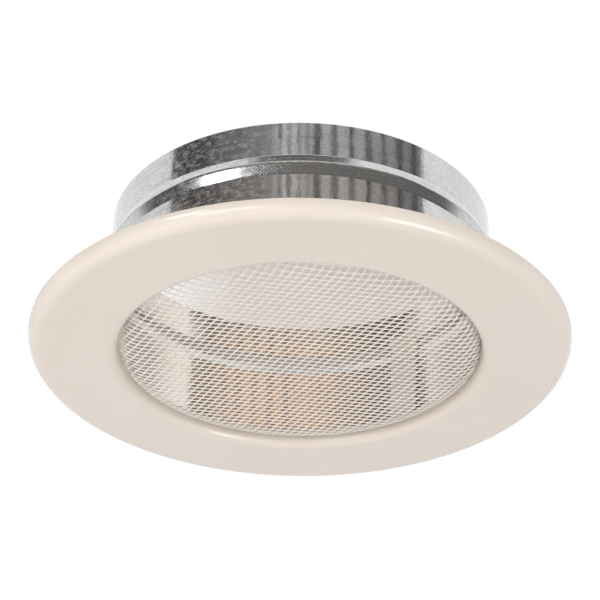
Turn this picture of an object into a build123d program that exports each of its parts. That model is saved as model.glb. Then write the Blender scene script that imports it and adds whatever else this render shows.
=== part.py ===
from build123d import *

import math
import os

# Face ring: one pressed sheet, flat in front, rolled back at the rim and turned up at the opening
flange_diameter = 172.5
face_sheet = 0.8
rim_radius = 4.5
rim_straight = 0.3
lip_radius = 3.0
neck_height = 6.0

# Collar: a sleeve rolled from galvanised strip, with one stiffening rib and a lapped seam
collar_diameter = 124.6
neck_gap = 2.9
collar_sheet = 0.6
overall_depth = 48.8
rib_setback = 15.3
rib_width = 7.0
rib_height = 1.2
rib_foot_radius = 1.0
rib_crest_radius = 1.5
lap_width = 12.0
lap_angle = 3.0

# Mesh screen: a shallow dish of expanded metal whose curved edge lies inside the neck
mesh_recess = 0.9
mesh_sheet = 0.6
mesh_strand = 1.4
mesh_border = 1.5
mesh_row_pitch = 10.6
mesh_row_angle = 10.0
mesh_cross_pitch = 10.0
mesh_cross_angle = -61.0
dish_rise = 2.8
dish_edge_width = 8.0
dish_clearance = 0.3

# Spring tabs: strips that stand on the neck and snap into the groove behind the rib
tab_count = 3
tab_first_angle = 53.0
tab_width = 10.0
tab_sheet = 0.8
tab_tip_rise = 5.0
tab_tip_inset = 1.6
tab_bend_radius = 1.2
tab_clearance = 0.3

# Sizes that follow
flange_radius = flange_diameter / 2
rim_depth = rim_radius + rim_straight
collar_radius = collar_diameter / 2
collar_bore_radius = collar_radius - collar_sheet
neck_outer_radius = collar_bore_radius - neck_gap
neck_radius = neck_outer_radius - face_sheet
rib_level = overall_depth - rib_setback
rib_front = rib_level - rib_width / 2
rib_back = rib_level + rib_width / 2
dish_radius = neck_radius - dish_clearance
mesh_open_radius = dish_radius - mesh_border

os.makedirs("parts", exist_ok=True)


def radial_plane(angle):
    """The upright half plane through the axis that faces out at the given angle."""
    turn = math.radians(angle)
    outward = (math.cos(turn), math.sin(turn), 0)
    return Plane(origin=(0, 0, 0), x_dir=outward, z_dir=(outward[1], -outward[0], 0))


def sleeve_outline(radius):
    """Outer outline of a ribbed sleeve wall, from the back of the face to the open end."""
    return [
        (radius, face_sheet),
        (radius, rib_front),
        (radius + rib_height, rib_level),
        (radius, rib_back),
        (radius, overall_depth),
    ]


def lattice_vector(pitch, angle):
    """One step of the mesh pattern."""
    turn = math.radians(angle)
    return Vector(pitch * math.cos(turn), pitch * math.sin(turn))


# Face ring
with BuildPart() as face_ring:
    with BuildSketch(Plane.XZ):
        with BuildLine():
            edge = Line((flange_radius, rim_depth), (flange_radius, rim_radius))
            rim = TangentArc(edge @ 1, (flange_radius - rim_radius, 0), tangent=edge % 1)
            front = Line(rim @ 1, (neck_radius + lip_radius, 0))
            lip = TangentArc(front @ 1, (neck_radius, lip_radius), tangent=front % 1)
            Line(lip @ 1, (neck_radius, neck_height))
            offset(amount=face_sheet, side=Side.RIGHT)
        make_face()
    revolve(axis=Axis.Z)
face_ring.part.label = "face_ring"
export_step(face_ring.part, "parts/face_ring.step")

# Collar, with the inner end of the strip lapped behind the outer end
rib_radii = [rib_foot_radius, rib_crest_radius, rib_foot_radius]
lap_arc = math.degrees(lap_width / collar_bore_radius)
with BuildPart() as collar:
    with BuildSketch(Plane.XZ):
        with BuildLine():
            FilletPolyline(*sleeve_outline(collar_radius), radius=rib_radii)
            offset(amount=collar_sheet, side=Side.LEFT)
        make_face()
    revolve(axis=Axis.Z)
    with BuildSketch(radial_plane(lap_angle)):
        with BuildLine():
            FilletPolyline(*sleeve_outline(collar_bore_radius), radius=rib_radii)
            offset(amount=collar_sheet, side=Side.LEFT)
        make_face()
    revolve(axis=Axis.Z, revolution_arc=lap_arc)
collar.part.label = "collar"
export_step(collar.part, "parts/collar.step")

# Mesh screen: two sets of straight strands cross over the dish and leave slanted gaps
row_step = lattice_vector(mesh_row_pitch, mesh_row_angle)
cross_step = lattice_vector(mesh_cross_pitch, mesh_cross_angle)
cell_area = abs(row_step.cross(cross_step).Z)
row_opening = row_step * (1 - mesh_strand * mesh_cross_pitch / cell_area)
cross_opening = cross_step * (1 - mesh_strand * mesh_row_pitch / cell_area)
gap_corners = [
    (row_opening + cross_opening) * 0.5,
    (row_opening - cross_opening) * 0.5,
    (row_opening + cross_opening) * -0.5,
    (cross_opening - row_opening) * 0.5,
]
reach = math.ceil(mesh_open_radius * max(mesh_row_pitch, mesh_cross_pitch) / cell_area)
gap_centres = []
for row in range(-reach, reach + 1):
    for place in range(-reach, reach + 1):
        centre = row_step * place + cross_step * row
        if centre.length < mesh_open_radius:
            gap_centres.append(centre)
print("mesh gaps:", len(gap_centres))
with BuildPart() as mesh_screen:
    with BuildSketch(Plane.XZ):
        with BuildLine():
            flat = Line((0, mesh_recess), (dish_radius - dish_edge_width, mesh_recess))
            TangentArc(flat @ 1, (dish_radius, mesh_recess + dish_rise), tangent=flat % 1)
            offset(amount=mesh_sheet, side=Side.LEFT)
        make_face()
    revolve(axis=Axis.Z)
    with BuildSketch(Plane.XY.offset(mesh_recess)):
        with Locations(*gap_centres):
            Polygon(*gap_corners, align=None)
        Circle(mesh_open_radius, mode=Mode.INTERSECT)
    extrude(amount=dish_rise + mesh_sheet, mode=Mode.SUBTRACT)
mesh_screen.part.label = "mesh_screen"
export_step(mesh_screen.part, "parts/mesh_screen.step")

# Spring tabs, each one curved strip welded to the outside of the neck
tab_foot_radius = neck_outer_radius + tab_sheet
tab_shoulder_radius = collar_bore_radius - tab_clearance
tab_knee_radius = tab_shoulder_radius + rib_height
tab_arc = math.degrees(tab_width / tab_foot_radius)
for number in range(tab_count):
    middle = tab_first_angle + number * 360 / tab_count
    with BuildPart() as spring_tab:
        with BuildSketch(radial_plane(middle - tab_arc / 2)):
            with BuildLine():
                FilletPolyline(
                    (tab_foot_radius, lip_radius),
                    (tab_foot_radius, neck_height),
                    (tab_shoulder_radius, rib_front),
                    (tab_knee_radius, rib_level),
                    (tab_shoulder_radius - tab_tip_inset, rib_level + tab_tip_rise),
                    radius=tab_bend_radius,
                )
                offset(amount=tab_sheet, side=Side.LEFT)
            make_face()
        revolve(axis=Axis.Z, revolution_arc=tab_arc)
    name = f"spring_tab_{number + 1}"
    spring_tab.part.label = name
    export_step(spring_tab.part, f"parts/{name}.step")
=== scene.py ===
# %% [markdown]
# # A round air outlet vent
# The vent is a cream pressed ring, a screen of expanded metal, a galvanised collar that goes into the
# duct, and three spring tabs that hold the ring in the collar. The solids come in as a fixed frame, in
# metres, with +Z along the collar and the flat front at z = 0. Everything here is built around them.

# %% Load the frame
import bpy
import math
from mathutils import Matrix, Vector


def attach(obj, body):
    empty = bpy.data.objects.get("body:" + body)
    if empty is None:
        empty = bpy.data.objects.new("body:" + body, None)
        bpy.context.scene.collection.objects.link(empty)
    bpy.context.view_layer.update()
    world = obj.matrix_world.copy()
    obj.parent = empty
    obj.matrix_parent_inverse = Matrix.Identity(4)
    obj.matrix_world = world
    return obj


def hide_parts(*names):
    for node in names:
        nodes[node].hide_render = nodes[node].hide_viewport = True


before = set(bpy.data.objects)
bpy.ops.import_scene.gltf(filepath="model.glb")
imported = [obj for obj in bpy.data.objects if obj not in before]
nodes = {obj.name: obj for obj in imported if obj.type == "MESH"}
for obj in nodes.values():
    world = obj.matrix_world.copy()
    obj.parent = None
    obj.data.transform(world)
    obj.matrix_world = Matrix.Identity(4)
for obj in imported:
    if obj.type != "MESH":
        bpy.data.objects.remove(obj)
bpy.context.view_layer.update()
MM = 0.001
print("pieces:", sorted(nodes))

# %% [markdown]
# ## Camera
# The vent is seen from below, as under a ceiling, with a long lens. A camera can be aimed by eye or
# worked out. Here its place follows from the slant of the round outlines, so it is set by numbers: how
# steeply it looks up, how far away it is, and a small roll.

# %% Camera
look_up = 0.5446
distance = 576.55 * MM
target = Vector((-0.115, 0.0, 23.74)) * MM
roll = 0.0102
forward = Vector((0, math.cos(look_up), math.sin(look_up)))
level_right = Vector((1, 0, 0))
level_up = Vector((0, -math.sin(look_up), math.cos(look_up)))
right = level_right * math.cos(roll) + level_up * math.sin(roll)
up = level_up * math.cos(roll) - level_right * math.sin(roll)
camera_data = bpy.data.cameras.new("camera")
camera_data.sensor_width = 36.0
camera_data.lens = 106.16
camera = bpy.data.objects.new("camera", camera_data)
axes = Matrix((right, up, -forward)).transposed().to_4x4()
camera.matrix_world = Matrix.Translation(target - forward * distance) @ axes
bpy.context.scene.collection.objects.link(camera)
bpy.context.scene.camera = camera
print("camera at", [round(v / MM, 1) for v in camera.matrix_world.translation], "mm")

# %% [markdown]
# ## Room and light
# A shiny sleeve is a mirror, so most of its look is the room. The room here is white for anything that
# looks straight at it or mirrors it, and a softer white for plain light. It could be a picture of a real
# room, but two plain colours and a Light Path node are enough, and they give the same result anywhere.

# %% White room
plain_level = 0.44
bpy.context.scene.view_settings.view_transform = "Standard"
world = bpy.data.worlds.new("white_room")
bpy.context.scene.world = world
world.use_nodes = True
tree = world.node_tree
tree.nodes.clear()
paths = tree.nodes.new("ShaderNodeLightPath")
sees = tree.nodes.new("ShaderNodeMath")
sees.operation = "MAXIMUM"
tree.links.new(paths.outputs["Is Camera Ray"], sees.inputs[0])
tree.links.new(paths.outputs["Is Glossy Ray"], sees.inputs[1])
passes = tree.nodes.new("ShaderNodeMath")
passes.operation = "MAXIMUM"
tree.links.new(sees.outputs[0], passes.inputs[0])
tree.links.new(paths.outputs["Is Transmission Ray"], passes.inputs[1])
plain_light = tree.nodes.new("ShaderNodeBackground")
plain_light.inputs["Color"].default_value = (1.0, 0.99, 0.98, 1)
plain_light.inputs["Strength"].default_value = plain_level
white_wall = tree.nodes.new("ShaderNodeBackground")
white_wall.inputs["Color"].default_value = (1, 1, 1, 1)
white_wall.inputs["Strength"].default_value = 1.0
choose = tree.nodes.new("ShaderNodeMixShader")
tree.links.new(passes.outputs[0], choose.inputs["Fac"])
tree.links.new(plain_light.outputs[0], choose.inputs[1])
tree.links.new(white_wall.outputs[0], choose.inputs[2])
world_out = tree.nodes.new("ShaderNodeOutputWorld")
tree.links.new(choose.outputs[0], world_out.inputs["Surface"])
print("white room, plain light at", plain_level)

# %% [markdown]
# ## Floor
# A studio floor lies far below, because the camera looks up from under the vent. It is one large square, so
# that no view from above sees its edge. The helper that makes it also makes the screen later on.

# %% Floor


def new_object(name, points, faces):
    """A mesh object in the scene, from points in metres."""
    mesh = bpy.data.meshes.new(name)
    mesh.from_pydata(points, [], faces)
    mesh.validate()
    thing = bpy.data.objects.new(name, mesh)
    bpy.context.scene.collection.objects.link(thing)
    return thing


floor_level = -1.3
floor_half = 40.0
corners = [(x * floor_half, y * floor_half) for x, y in ((-1, -1), (1, -1), (1, 1), (-1, 1))]
floor = new_object("floor", [(x, y, floor_level) for x, y in corners], [(0, 1, 2, 3)])
print("floor at", floor_level, "m, below every view of the vent")

# %% [markdown]
# ## Helpers for materials
# Every finish is a small tree of nodes. A few helpers keep the trees short. One places a node and fills its
# sockets by name, where a value may be a number or another node's output. The others use it for a sum, for a
# change of range and for a mix of two colours.

# %% Node helpers


def place(tree, kind, sockets=None, **settings):
    """Adds a node, sets its options, and fills or links its inputs."""
    node = tree.nodes.new(kind)
    for name, value in settings.items():
        setattr(node, name, value)
    for key, value in (sockets or {}).items():
        if isinstance(value, bpy.types.NodeSocket):
            tree.links.new(value, node.inputs[key])
        else:
            node.inputs[key].default_value = value
    return node


def maths(tree, operation, first, second=0.0):
    """One sum on two values or outputs."""
    return place(tree, "ShaderNodeMath", {0: first, 1: second}, operation=operation).outputs[0]


def spread(tree, value, low, high, to_low, to_high):
    """Maps a value from one range to another, held at the ends."""
    sockets = {"Value": value, "From Min": low, "From Max": high, "To Min": to_low, "To Max": to_high}
    return place(tree, "ShaderNodeMapRange", sockets).outputs["Result"]


def blend(tree, share, first, second):
    """Mixes two colours by a share."""
    mix = place(tree, "ShaderNodeMix", {0: share, 6: first, 7: second}, data_type="RGBA")
    return mix.outputs[2]


print("node helpers ready")

# %% [markdown]
# An effect that several finishes share is a group, with named sockets, and each material places it with its own
# values. The shader stays in the material.

# %% Groups and materials


def new_group(name, inputs, outputs):
    """A shader group with named number inputs and outputs. Gives the tree, its inputs and its output node."""
    group = bpy.data.node_groups.new(name, "ShaderNodeTree")
    for label, value in inputs.items():
        socket = group.interface.new_socket(label, in_out="INPUT", socket_type="NodeSocketFloat")
        socket.default_value = value
    for label in outputs:
        group.interface.new_socket(label, in_out="OUTPUT", socket_type="NodeSocketFloat")
    entry = group.nodes.new("NodeGroupInput")
    leave = group.nodes.new("NodeGroupOutput")
    return group, entry.outputs, leave.inputs


def use_group(tree, group, **values):
    """Places a group in a material. Underscores in the names stand for spaces."""
    node = place(tree, "ShaderNodeGroup", node_tree=group)
    for name, value in values.items():
        node.inputs[name.replace("_", " ").capitalize()].default_value = value
    return node.outputs


def new_material(name):
    """A material with an empty tree and one Principled shader, joined to the output."""
    material = bpy.data.materials.new(name)
    material.use_nodes = True
    tree = material.node_tree
    tree.nodes.clear()
    shader = tree.nodes.new("ShaderNodeBsdfPrincipled")
    out = tree.nodes.new("ShaderNodeOutputMaterial")
    tree.links.new(shader.outputs[0], out.inputs["Surface"])
    return material, tree, shader


print("group and material helpers ready")

# %% [markdown]
# ## Floor finish
# The floor is pale paper with a faint unevenness. Little light reaches it, so it would look grey. It glows a
# little, only for rays that look at it or mirror it, so that no extra light falls on the vent.

# %% Floor finish
floor_glow = 0.28
floor_material, tree, shader = new_material("pale_floor")
speckle = place(tree, "ShaderNodeTexNoise", {"Scale": 3.0, "Detail": 2.0})
pale = blend(tree, speckle.outputs[0], (0.92, 0.92, 0.92, 1), (0.96, 0.96, 0.96, 1))
tree.links.new(pale, shader.inputs["Base Color"])
shader.inputs["Roughness"].default_value = 0.8
floor_rays = place(tree, "ShaderNodeLightPath").outputs
looked_at = maths(tree, "MAXIMUM", floor_rays["Is Camera Ray"], floor_rays["Is Glossy Ray"])
looked_at = maths(tree, "MAXIMUM", looked_at, floor_rays["Is Transmission Ray"])
shader.inputs["Emission Color"].default_value = (1, 1, 1, 1)
tree.links.new(maths(tree, "MULTIPLY", looked_at, floor_glow), shader.inputs["Emission Strength"])
floor.data.materials.append(floor_material)
print("floor finish:", floor_material.name)

# %% [markdown]
# ## Ceiling seen through the vent
# Straight behind the collar the room has a patch of ceiling in painted shade, grey, pale at its left edge and
# darker towards the right, which shows between the strands of the screen. A grey board could stand there, but it
# would throw a shadow. It is painted into the world by direction instead, only for the camera, and it ends within
# the collar's outline.

# %% Ceiling patch
tree = world.node_tree
way = tree.nodes.new("ShaderNodeTexCoord").outputs["Generated"]
patch_rise = math.radians(31.4)
patch_edge = [math.cos(math.radians(angle)) for angle in (5.5, 5.0)]
behind = (0.0, math.cos(patch_rise), math.sin(patch_rise))
closeness = place(tree, "ShaderNodeVectorMath", {0: way, 1: behind}, operation="DOT_PRODUCT").outputs["Value"]
patch = spread(tree, closeness, *patch_edge, 0, 1)
side = place(tree, "ShaderNodeSeparateXYZ", {0: way}).outputs[0]
# Painted shade: what is seen through the collar is grey, pale at the left edge and darker towards the right.
ceiling_shade = blend(tree, spread(tree, side, -0.03, 0.06, 0, 1), (0.63, 0.575, 0.56, 1), (0.53, 0.47, 0.455, 1))
ceiling_shade = blend(tree, spread(tree, side, -0.072, -0.035, 0, 1), (0.9, 0.875, 0.875, 1), ceiling_shade)
patch = maths(tree, "MULTIPLY", patch, paths.outputs["Is Camera Ray"])
tree.links.new(blend(tree, patch, (1, 1, 1, 1), ceiling_shade), white_wall.inputs["Color"])
print("ceiling patch behind the collar")

# %% [markdown]
# ## Dark cards
# In a studio, dark cards stand out of sight to give metal its contrast. Each could be a plane of its own. They
# are painted here on the inside of one dome that only mirror rays see, so it takes no light from the vent, and
# each card's edges are plain angles.

# %% Card dome
card_radius = 1.6
card_centre = Vector((0, 0, 20 * MM))
card_low, card_high = -62, 88
card_steps, card_rows = 96, 30
points = []
for row in range(card_rows + 1):
    rise = math.radians(card_low + (card_high - card_low) * row / card_rows)
    for step in range(card_steps):
        turn = 2 * math.pi * step / card_steps
        away = Vector((math.sin(turn) * math.cos(rise), -math.cos(turn) * math.cos(rise), math.sin(rise)))
        points.append(card_centre + away * card_radius)
faces = []
for row in range(card_rows):
    for step in range(card_steps):
        a, b = row * card_steps + step, row * card_steps + (step + 1) % card_steps
        faces.append((a, b, b + card_steps, a + card_steps))
card = new_object("dark_cards", points, faces)
card.visible_camera = False
card.visible_diffuse = False
card.visible_shadow = False
card.visible_transmission = False
print("card dome from", card_low, "to", card_high, "degrees")

# %% [markdown]
# The paint follows two angles: the turn from the camera's side, and the rise above level. The upright wall of
# the collar mirrors a rise of about 30 degrees, its inside a little lower than its outside. One flank of the
# rib mirrors the floor's side, and the other mirrors straight up. So each gets a card of its own.

# %% Where the cards are
card_material = bpy.data.materials.new("dark_cards")
card_material.use_nodes = True
tree = card_material.node_tree
tree.nodes.clear()
place_on = place(tree, "ShaderNodeNewGeometry").outputs["Position"]
spot = place(tree, "ShaderNodeSeparateXYZ", {0: place_on}).outputs
turn = maths(tree, "ARCTAN2", spot[0], maths(tree, "MULTIPLY", spot[1], -1.0))
turn = maths(tree, "DEGREES", turn)
level = maths(tree, "DIVIDE", maths(tree, "SUBTRACT", spot[2], card_centre.z), card_radius)
rise = maths(tree, "DEGREES", maths(tree, "ARCSINE", level))


def between(tree, value, low, high, soft):
    """1 where a value lies between two limits, falling to 0 outside over a soft edge."""
    rising = spread(tree, value, low - soft, low, 0, 1)
    falling = spread(tree, value, high, high + soft, 1, 0)
    return maths(tree, "MULTIPLY", rising, falling)


def over(tree, share, colour, below):
    """Paints a colour over what is below, by a share."""
    return blend(tree, share, below, colour)


inside_rise, outside_rise = 26.5, 31.9
parting = maths(tree, "SUBTRACT", rise, spread(tree, turn, -32, -22, 0.4, 0))
upright = between(tree, parting, inside_rise, outside_rise, 0.1)
top_band = spread(tree, rise, 30.7, 31.0, 0, 1)
inside_card = blend(tree, top_band, between(tree, turn, -87, 73, 2), between(tree, turn, -72, 64, 2))
inside_card = maths(tree, "MULTIPLY", inside_card, upright)
inside_ends = maths(tree, "MULTIPLY", between(tree, maths(tree, "ABSOLUTE", turn), 108, 180, 22), upright)
outside_card = between(tree, turn, -82, 75, 1.5)
outside_card = maths(tree, "MULTIPLY", outside_card, between(tree, parting, outside_rise, 54, 0.1))
low_card = between(tree, turn, -90, 86, 9)
low_card = maths(tree, "MULTIPLY", low_card, between(tree, rise, -20, inside_rise, 0.1))
high_card = between(tree, turn, -62, 52, 16)
high_card = maths(tree, "MULTIPLY", high_card, between(tree, rise, 69.2, 90, 1.2))
warm_white = between(tree, rise, inside_rise, 32.7, 0.2)
print("cards: inside, outside, low and high")

# %% [markdown]
# The card on the camera's side has lighter stripes, like folds in a hanging cloth. An even wave would look
# printed, so a noise along the turn makes the stripes uneven, and a second one lets them fade in places. The
# inside of the collar mirrors a warmer part of the same card.

# %% Card stripes
wobble = place(
    tree, "ShaderNodeTexNoise", {"W": turn, "Scale": 0.11, "Detail": 3.0}, noise_dimensions="1D"
).outputs[0]
wobble = maths(tree, "SUBTRACT", wobble, 0.5)


def stripes(period, shift, uneven):
    """Upright stripes, 1 where dark. The period and the shift are in degrees."""
    phase = maths(tree, "MULTIPLY", maths(tree, "SUBTRACT", turn, shift), 2 * math.pi / period)
    wave = maths(tree, "COSINE", phase)
    wave = maths(tree, "ADD", wave, maths(tree, "MULTIPLY", wobble, uneven))
    return spread(tree, wave, -0.1, 0.75, 0, 1)


wide = stripes(10.1, 19.1, 2.0)
narrow = stripes(5.5, -1.8, 2.0)
stripe = blend(tree, spread(tree, turn, 2, 6, 0, 1), narrow, wide)
over_turn, over_rise = maths(tree, "MULTIPLY", turn, 0.2), maths(tree, "MULTIPLY", rise, 0.8)
card_way = place(tree, "ShaderNodeCombineXYZ", {"X": over_turn, "Y": over_rise}).outputs[0]
faint = place(tree, "ShaderNodeTexNoise", {"Vector": card_way, "Scale": 1.0, "Detail": 3.0}).outputs[0]
stripe = maths(tree, "MULTIPLY", stripe, spread(tree, faint, 0.36, 0.56, 0.3, 1))
striped = spread(tree, turn, -20, -15, 0, 1)
plain = blend(tree, spread(tree, turn, -62, -18, 0, 1), (0.06, 0.06, 0.06, 1), (0.3, 0.295, 0.285, 1))
plain = blend(tree, striped, plain, (0.56, 0.548, 0.53, 1))
plain = blend(tree, between(tree, turn, -14, -1, 1), plain, (0.7, 0.69, 0.67, 1))
plain = blend(tree, spread(tree, turn, 25, 78, 0, 1), plain, (0.2, 0.195, 0.19, 1))
outside_paint = blend(tree, maths(tree, "MULTIPLY", stripe, striped), plain, (0.045, 0.044, 0.042, 1))
outside_paint = blend(tree, spread(tree, rise, 33, 35.5, 0.22, 0), outside_paint, (0.06, 0.06, 0.06, 1))
warm = blend(tree, stripe, (0.92, 0.56, 0.31, 1), (0.2, 0.13, 0.09, 1))
inside_paint = blend(tree, between(tree, turn, -12, 36, 34), (0.27, 0.195, 0.15, 1), warm)
low_paint = blend(tree, spread(tree, turn, -60, -20, 0, 1), (0.05, 0.049, 0.047, 1), (0.17, 0.163, 0.156, 1))
low_paint = blend(tree, spread(tree, turn, 50, 85, 0, 1), low_paint, (0.11, 0.107, 0.103, 1))
print("stripes: 10 and 5.5 degrees apart")

# %% [markdown]
# The cards are laid over a white ground, one after the other. The dome gives out its own colour, so no lamp has
# to light it, and a strength of 1 is plain white.

# %% Card paint
window = blend(tree, spread(tree, turn, 60, 75, 0, 1), (0.93, 0.85, 0.79, 1), (1.3, 1.18, 1.1, 1))
tint = over(tree, warm_white, window, (1, 1, 1, 1))
tint = over(tree, inside_card, inside_paint, tint)
tint = over(tree, inside_ends, (0.5, 0.45, 0.41, 1), tint)
tint = over(tree, outside_card, outside_paint, tint)
tint = over(tree, low_card, low_paint, tint)
tint = over(tree, high_card, (0.17, 0.166, 0.162, 1), tint)
glow = place(tree, "ShaderNodeEmission", {"Color": tint, "Strength": 1.0})
out = tree.nodes.new("ShaderNodeOutputMaterial")
tree.links.new(glow.outputs[0], out.inputs["Surface"])
card.data.materials.append(card_material)
print("cards painted")

# %% [markdown]
# ## Lamps
# Soft square lamps stand around the vent. The key lamp, level and at the left, puts the bright patch on the
# rib. The rim lamp and the low lamp draw the streaks on the rolled rim and the lip. The others light the coat
# evenly from the front, the left, the right and above. A lamp can be kept out of mirror rays or out of plain
# light, so each one here does one job without spoiling another's.

# %% Lamps


def soft_lamp(name, turn, rise, away, size, power, lights, mirrored):
    """A flat lamp aimed at the vent. Turn is measured from the camera's side, rise from level."""
    data = bpy.data.lights.new(name, "AREA")
    data.shape = "RECTANGLE"
    data.size, data.size_y = size
    data.energy = power
    lamp = bpy.data.objects.new(name, data)
    turn, rise = math.radians(turn), math.radians(rise)
    way = Vector((math.sin(turn) * math.cos(rise), -math.cos(turn) * math.cos(rise), math.sin(rise)))
    lamp.location = card_centre + way * away
    lamp.rotation_euler = way.to_track_quat("Z", "Y").to_euler()
    lamp.visible_diffuse = lights
    lamp.visible_glossy = mirrored
    bpy.context.scene.collection.objects.link(lamp)


soft_lamp("key_lamp", -43, 0, 1.1, (0.27, 0.27), 1.9, lights=True, mirrored=True)
soft_lamp("rim_lamp", -28, -18, 1.1, (0.44, 0.14), 1.8, lights=False, mirrored=True)
soft_lamp("low_lamp", 57, -50, 1.4, (0.5, 0.42), 5.0, lights=True, mirrored=True)
soft_lamp("front_lamp", -6, -8, 1.2, (0.9, 0.6), 4.9, lights=True, mirrored=False)
soft_lamp("side_lamp", 75, 6, 1.2, (0.6, 0.6), 2.4, lights=True, mirrored=False)
soft_lamp("top_lamp", 150, 62, 1.3, (0.8, 0.8), 8.0, lights=True, mirrored=False)
soft_lamp("fill_lamp", -70, -40, 0.75, (0.5, 0.5), 1.7, lights=True, mirrored=False)

# %% [markdown]
# ## Powder coat
# The ring, the screen and the tabs are powder coated: the paint is melted on, and sets with a faint orange
# peel. The effect is one group, used by three materials. It gives a height for the peel, a slow change of
# tone, and a mask of faint handling marks.

# %% Powder coat group
coat_group, given, result = new_group(
    "powder_coat_surface",
    {"Peel scale": 700.0, "Marks": 0.5},
    ["Peel", "Tone", "Marks"],
)
where = coat_group.nodes.new("ShaderNodeTexCoord").outputs["Object"]
peel = place(coat_group, "ShaderNodeTexNoise", {"Vector": where, "Scale": given[0], "Detail": 2.0})
coat_group.links.new(peel.outputs[0], result[0])
tone = place(coat_group, "ShaderNodeTexNoise", {"Vector": where, "Scale": 18.0, "Detail": 3.0})
coat_group.links.new(spread(coat_group, tone.outputs[0], 0.3, 0.7, 0, 1), result[1])
mark = place(
    coat_group, "ShaderNodeTexNoise", {"Vector": where, "Scale": 55.0, "Detail": 5.0, "Roughness": 0.65}
)
mark = spread(coat_group, mark.outputs[0], 0.6, 0.78, 0, 1)
coat_group.links.new(maths(coat_group, "MULTIPLY", mark, given[1]), result[2])
print("group:", coat_group.name)

# %% [markdown]
# Each coat is the same paint on another piece. The screen's is a little lighter and duller, because its cut
# strands take a thinner coat.

# %% Coats


def powder_coat(name, colour, shade, roughness, peel_scale, marks, depth):
    """A cream coat. Shade is the colour of its darker patches."""
    material, tree, shader = new_material(name)
    coat = use_group(tree, coat_group, peel_scale=peel_scale, marks=marks)
    base = blend(tree, coat["Tone"], shade, colour)
    tree.links.new(base, shader.inputs["Base Color"])
    dull = maths(tree, "ADD", maths(tree, "MULTIPLY", coat["Marks"], 0.12), roughness)
    tree.links.new(dull, shader.inputs["Roughness"])
    bump = place(tree, "ShaderNodeBump", {"Strength": 0.25, "Distance": depth, "Height": coat["Peel"]})
    tree.links.new(bump.outputs[0], shader.inputs["Normal"])
    return material


ring_coat = powder_coat(
    "cream_ring", (0.735, 0.656, 0.588, 1), (0.715, 0.634, 0.563, 1), 0.18, 700.0, 0.6, 0.00003
)
screen_coat = powder_coat(
    "cream_screen", (0.8, 0.74, 0.685, 1), (0.76, 0.695, 0.635, 1), 0.4, 1500.0, 0.3, 0.00004
)
tab_coat = powder_coat(
    "cream_tab", (0.77, 0.68, 0.59, 1), (0.73, 0.635, 0.54, 1), 0.4, 700.0, 0.6, 0.00006
)
print("coats:", ring_coat.name, screen_coat.name, tab_coat.name)

# %% [markdown]
# ## Face ring and tabs
# The ring is one pressed sheet, and its solid already has the rolled rim and the turned-up neck, so it keeps
# its shape and only gets its coat. The tabs are the same. The coarse solid of the screen gets the screen's coat,
# although a finer screen takes its place below.

# %% Coat the ring and the tabs


def dress(name, material):
    """Gives a solid of the frame its finish."""
    mesh = nodes[name].data
    mesh.materials.clear()
    mesh.materials.append(material)


dress("face_ring", ring_coat)
for number in (1, 2, 3):
    dress(f"spring_tab_{number}", tab_coat)
dress("mesh_screen", screen_coat)
print("coated: face_ring, mesh_screen and 3 tabs")

# %% [markdown]
# ## Galvanised collar
# The collar is strip steel dipped in zinc. Zinc sets in flat crystals, the spangle, which mirror a little
# differently, and rolling leaves fine lines along the strip. The crystals are cells of a Voronoi texture in
# unrolled coordinates, so that they lie on the sheet. Cloudy patches are duller.

# %% Unrolled coordinates
sleeve_group, given, result = new_group("sleeve_coordinates", {"Radius": 0.0623}, ["Along", "Level"])
spot = place(
    sleeve_group, "ShaderNodeSeparateXYZ", {0: sleeve_group.nodes.new("ShaderNodeTexCoord").outputs["Object"]}
)
turn = maths(sleeve_group, "ARCTAN2", spot.outputs[1], spot.outputs[0])
sleeve_group.links.new(maths(sleeve_group, "MULTIPLY", turn, given[0]), result[0])
sleeve_group.links.new(spot.outputs[2], result[1])
print("group:", sleeve_group.name)

# %% [markdown]
# Each trait of the zinc is a mask or a value on the unrolled sheet: crystals, smeared patches, rolled lines, fine
# grain, and a slow ripple that bends what the sheet mirrors. Pressing the rib has made its lower flank duller, and
# inside the rib a pale band is painted on, a painted highlight that makes the groove look lit.

# %% Galvanised surface
galvanised, tree, shader = new_material("galvanised")
sheet = use_group(tree, sleeve_group)
flat = place(tree, "ShaderNodeCombineXYZ", {"X": sheet["Along"], "Y": sheet["Level"]}).outputs[0]
thin_way = maths(tree, "MULTIPLY", sheet["Along"], 0.015)
lines = place(tree, "ShaderNodeCombineXYZ", {"X": thin_way, "Y": sheet["Level"]}).outputs[0]
crystal = place(tree, "ShaderNodeTexVoronoi", {"Vector": flat, "Scale": 700.0})
crystal_tone = place(tree, "ShaderNodeSeparateColor", {0: crystal.outputs["Color"]}).outputs[0]
smear_way = maths(tree, "MULTIPLY", sheet["Along"], 0.6)
smear = place(tree, "ShaderNodeCombineXYZ", {"X": smear_way, "Y": sheet["Level"]}).outputs[0]
cloud = place(
    tree, "ShaderNodeTexNoise", {"Vector": smear, "Scale": 560.0, "Detail": 10.0, "Roughness": 0.85}
).outputs[0]
worn = between(tree, sheet["Along"], -146 * MM, -113 * MM, 14 * MM)
worn = maths(tree, "MULTIPLY", maths(tree, "SUBTRACT", worn, 1.0), 0.11)
patch = spread(tree, maths(tree, "ADD", cloud, worn), 0.475, 0.565, 0, 1)
pressed = between(tree, sheet["Level"], 30.4 * MM, 33.2 * MM, 0.3 * MM)
patch = maths(tree, "MULTIPLY", patch, spread(tree, pressed, 0, 1, 1, 0.5))
scratch = place(tree, "ShaderNodeTexNoise", {"Vector": lines, "Scale": 1500.0, "Detail": 3.0}).outputs[0]
line = spread(tree, scratch, 0.6, 0.7, 0, 1)
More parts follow.
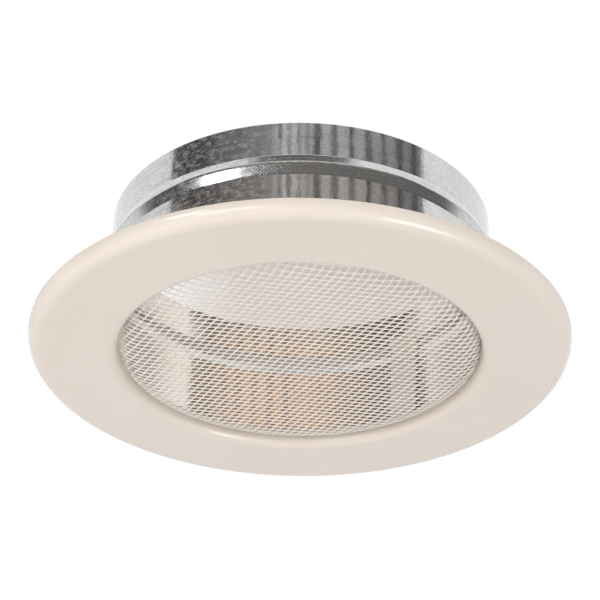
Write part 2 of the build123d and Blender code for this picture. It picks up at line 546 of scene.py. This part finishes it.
grain = place(tree, "ShaderNodeTexNoise", {"Vector": flat, "Scale": 2200.0, "Detail": 3.0}).outputs[0]
speck = spread(tree, grain, 0.58, 0.7, 0, 0.7)
patch = maths(tree, "MAXIMUM", patch, speck)
grain = spread(tree, grain, 0.4, 0.75, 0, 1)
low_way = maths(tree, "MULTIPLY", sheet["Level"], 0.35)
upright_way = place(tree, "ShaderNodeCombineXYZ", {"X": sheet["Along"], "Y": low_way}).outputs[0]
ripple = place(tree, "ShaderNodeTexNoise", {"Vector": upright_way, "Scale": 420.0, "Detail": 3.0}).outputs[0]
side = place(tree, "ShaderNodeNewGeometry").outputs
outward = place(tree, "ShaderNodeVectorMath", {0: side["Normal"], 1: side["Position"]}, operation="DOT_PRODUCT")
inner = maths(tree, "LESS_THAN", outward.outputs["Value"], 0.0)
# Painted highlight: a pale band on the inner face of the rib's groove, where the groove catches light.
painted_highlight = maths(tree, "MULTIPLY", between(tree, sheet["Level"], 33.8 * MM, 36.6 * MM, 0.5 * MM), inner)
painted_highlight = maths(tree, "MULTIPLY", painted_highlight, 0.6)
print("galvanised: crystals, patches, lines, and bloom inside the rib")

# %% [markdown]
# The masks then drive one shader. Clean zinc is a mirror, patches are rougher and less metallic, and the painted
# highlight in the rib is pale and less metallic. The inside is tinted a little warmer, as painted warm light from
# the cream screen. Only the bump stays very shallow, because a deep one breaks up what the metal mirrors.

# %% Galvanised colour and gloss
tone = maths(tree, "ADD", maths(tree, "MULTIPLY", crystal_tone, 0.3), maths(tree, "MULTIPLY", line, 0.6))
tone = maths(tree, "ADD", tone, maths(tree, "MULTIPLY", grain, 0.8))
zinc = blend(tree, tone, (0.72, 0.725, 0.73, 1), (0.47, 0.475, 0.48, 1))
zinc = blend(tree, patch, zinc, (0.55, 0.55, 0.55, 1))
# The painted highlight in the groove: a pale warm grey, less metallic.
zinc = blend(tree, painted_highlight, zinc, (0.62, 0.57, 0.53, 1))
# Painted warm light: the collar's inner faces are tinted warmer, for the cream light the screen throws inside.
tint = {0: inner, 6: zinc, 7: (1.0, 0.95, 0.9, 1)}
zinc = place(tree, "ShaderNodeMix", tint, data_type="RGBA", blend_type="MULTIPLY").outputs[2]
tree.links.new(zinc, shader.inputs["Base Color"])
metal = maths(tree, "SUBTRACT", spread(tree, patch, 0, 1, 1, 0.7), painted_highlight)
tree.links.new(metal, shader.inputs["Metallic"])
gloss = maths(tree, "ADD", spread(tree, patch, 0, 1, 0.07, 0.2), maths(tree, "MULTIPLY", crystal_tone, 0.03))
gloss = maths(tree, "ADD", gloss, maths(tree, "MULTIPLY", pressed, 0.15))
tree.links.new(gloss, shader.inputs["Roughness"])
height = maths(tree, "ADD", maths(tree, "MULTIPLY", scratch, 0.3), maths(tree, "MULTIPLY", crystal_tone, 0.2))
height = maths(tree, "ADD", height, maths(tree, "MULTIPLY", ripple, 3.2))
bump = place(tree, "ShaderNodeBump", {"Strength": 0.3, "Distance": 0.00003, "Height": height})
tree.links.new(bump.outputs[0], shader.inputs["Normal"])
dress("collar", galvanised)
print("galvanised: collar")

# %% [markdown]
# ## Expanded-metal screen
# Expanded metal is slit and pulled open, so its strands form two straight families that cross at a slant,
# and the openings are leaning diamonds. The screen could be a cut-out texture, but then it has no thickness
# and no wall. Here each cell is built: four corners shared with its neighbours, and an eight-sided hole.
# The flat lattice is then wrapped onto the dish by arc length: first the flat, then the curved edge.

# %% Dish shape
recess = 0.9
dish_radius = 57.7
edge_width = 8.0
edge_rise = 2.8
strand_sheet = 0.2
flat_radius = dish_radius - edge_width
bend_radius = (edge_width ** 2 + edge_rise ** 2) / (2 * edge_rise)
blank_radius = flat_radius + bend_radius * math.asin(edge_width / bend_radius)


def on_dish(x, y, inward):
    """Wraps a point of the flat blank onto the dish. Inward is its height above the front skin."""
    reach = math.hypot(x, y)
    if reach <= flat_radius:
        return (x * MM, y * MM, (recess + inward) * MM)
    turn = (reach - flat_radius) / bend_radius
    out = flat_radius + (bend_radius - inward) * math.sin(turn)
    level = recess + bend_radius - (bend_radius - inward) * math.cos(turn)
    return (x / reach * out * MM, y / reach * out * MM, level * MM)


print("blank radius", round(blank_radius, 2), "mm, bend radius", round(bend_radius, 2), "mm")

# %% [markdown]
# One cell repeats along two steps that aren't square to each other. Its opening is the cell less one strand's
# width, with the corners cut, because pulled metal is thick where strands meet. Cells are kept as far as the
# edge of the blank.

# %% Screen cells


def slanted_step(pitch, angle):
    """One step of the pattern, from a pitch in millimetres and an angle in degrees."""
    return Vector((pitch * math.cos(math.radians(angle)), pitch * math.sin(math.radians(angle))))


row_step = slanted_step(2.516, 9.9)
cross_step = slanted_step(2.363, -61.1)
first_opening = Vector((-5.06, -11.23))
strand_width = 0.37
corner_cut = 0.36
lift = 0.06
cell_area = abs(row_step.x * cross_step.y - row_step.y * cross_step.x)
row_open = 1 - strand_width * cross_step.length / cell_area
cross_open = 1 - strand_width * row_step.length / cell_area
rise_way = (row_step - cross_step).normalized()
corner_places = ((1, 1), (1, -1), (-1, -1), (-1, 1))
hole = []
for along, across in corner_places:
    for share_along, share_across in ((1 - corner_cut, 1), (1, 1 - corner_cut)):
        row_part = row_step * (along * share_along * row_open / 2)
        hole.append(row_part + cross_step * (across * share_across * cross_open / 2))
hole.sort(key=lambda p: math.atan2(p.y, p.x))
cells = []
span = 40
for i in range(-span, span + 1):
    for j in range(-span, span + 1):
        centre = first_opening + row_step * i + cross_step * j
        if centre.length < blank_radius - strand_width:
            cells.append((i, j, centre))
print("screen cells:", len(cells), "strand", strand_width, "mm")

# %% [markdown]
# The mesh has a front skin and a back skin, joined by the walls of the openings. Neighbouring cells share their
# corner points, so the strands are closed, and a cell's edge that no neighbour shares becomes the outer edge.
# Each opening is tilted a little, as pulling does to the strands.

# %% Screen mesh
skin_gap = 0.1
points, faces, corner_index, edge_use = [], [], {}, {}


def pair(spot, shift=0.0, limit=blank_radius):
    """Adds a point on the front skin and one on the back skin, cut at the edge. Gives the first one's index."""
    if spot.length > limit:
        spot = spot * (limit / spot.length)
    points.append(on_dish(spot.x, spot.y, shift + skin_gap))
    points.append(on_dish(spot.x, spot.y, shift + skin_gap + strand_sheet))
    return len(points) - 2


def corner_angle(signs):
    """The direction of a cell's corner from its middle."""
    corner = row_step * signs[0] + cross_step * signs[1]
    return math.atan2(corner.y, corner.x)


corner_turn = sorted(corner_places, key=corner_angle)
half_reach = max(abs(p.dot(rise_way)) for p in hole)
for i, j, centre in cells:
    ring = []
    for a, b in corner_turn:
        key = (2 * i + a, 2 * j + b)
        if key not in corner_index:
            corner_index[key] = pair(centre + row_step * (a / 2) + cross_step * (b / 2))
        ring.append(corner_index[key])
    inner = [pair(centre + p, lift * p.dot(rise_way) / half_reach, blank_radius - strand_width) for p in hole]
    for k in range(8):
        a, b = inner[k], inner[(k + 1) % 8]
        faces.append((a, b, b + 1, a + 1))
    for k in range(4):
        here, after = ring[k], ring[(k + 1) % 4]
        edge_use[(here, after)] = True
        s, t = inner[(2 * k + 1) % 8], inner[(2 * k + 2) % 8]
        faces.append((after, here, s, t))
        faces.append((here + 1, after + 1, t + 1, s + 1))
        u, v = inner[2 * k], inner[2 * k + 1]
        faces.append((here, u, v))
        faces.append((here + 1, v + 1, u + 1))
rim = 0
for here, after in edge_use:
    if (after, here) not in edge_use:
        faces.append((here, after, after + 1, here + 1))
        rim += 1
screen = new_object("expanded_screen", points, faces)
screen.data.materials.append(screen_coat)
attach(screen, "root")
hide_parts("mesh_screen")
triangles = sum(len(p.vertices) - 2 for p in screen.data.polygons)
print("screen:", triangles, "triangles,", rim, "rim edges")
